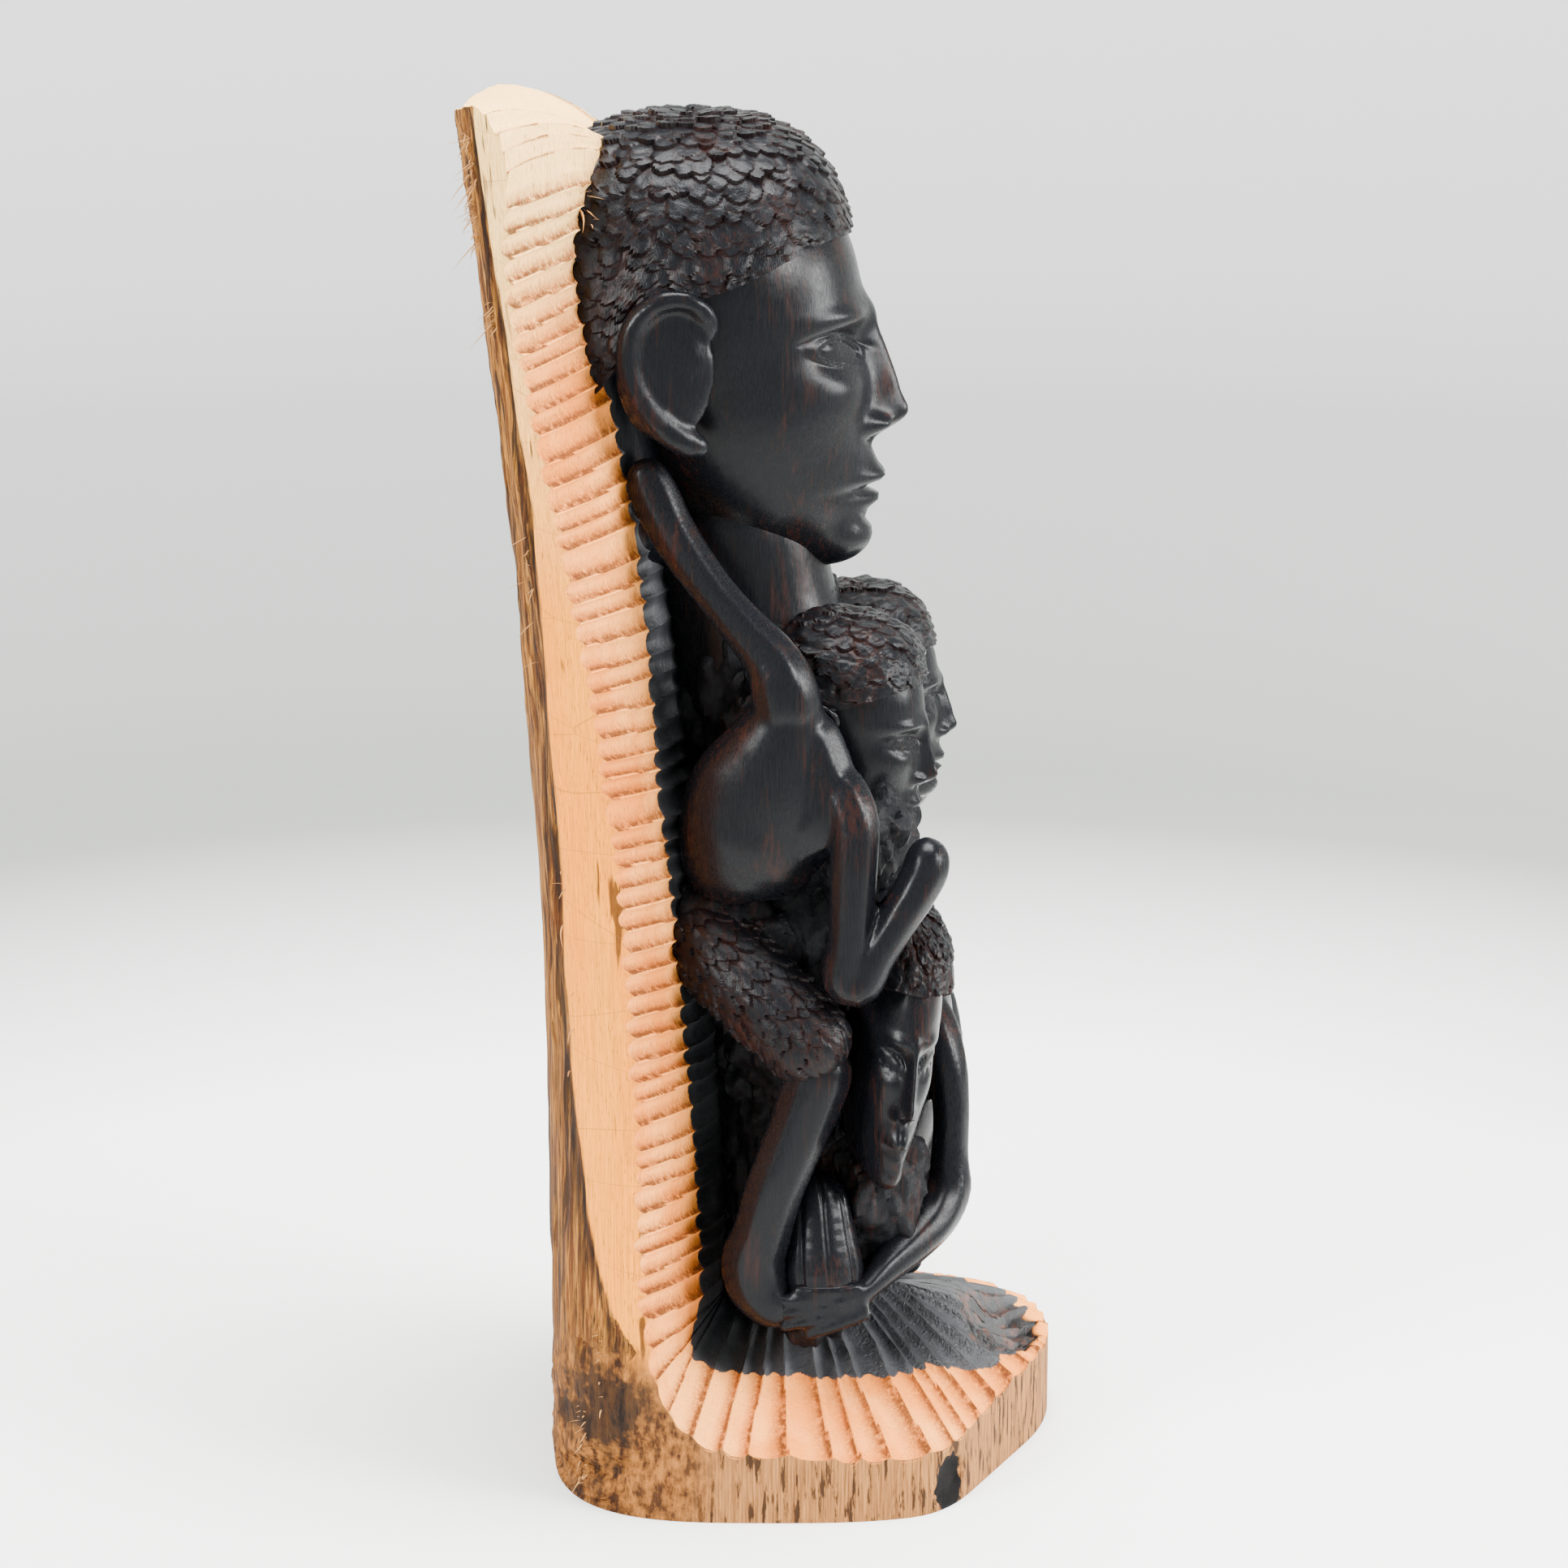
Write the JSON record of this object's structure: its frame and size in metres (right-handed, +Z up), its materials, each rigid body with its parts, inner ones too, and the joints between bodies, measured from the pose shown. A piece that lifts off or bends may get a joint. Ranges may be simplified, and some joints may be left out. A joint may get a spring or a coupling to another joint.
{
  "type": "family tree carving",
  "caption": "Upright carving of climbing figures and heads in front of a fluted log slab on a round foot, cut from one piece of dark wood.",
  "frame": {"origin": "middle of the bounding box's base, on the ground under the sawn foot", "axes": "+Z up along the log; +X the way the large head looks; -Y the side carved most fully, which faces the viewer"},
  "size_m": [0.2136, 0.19, 0.5023],
  "materials": {
    "heartwood": "near-black blackwood heartwood, cut with gouges and rubbed to a satin sheen"
  },
  "bodies": {
    "root": {"carving": "heartwood"}
  },
  "joints": []
}
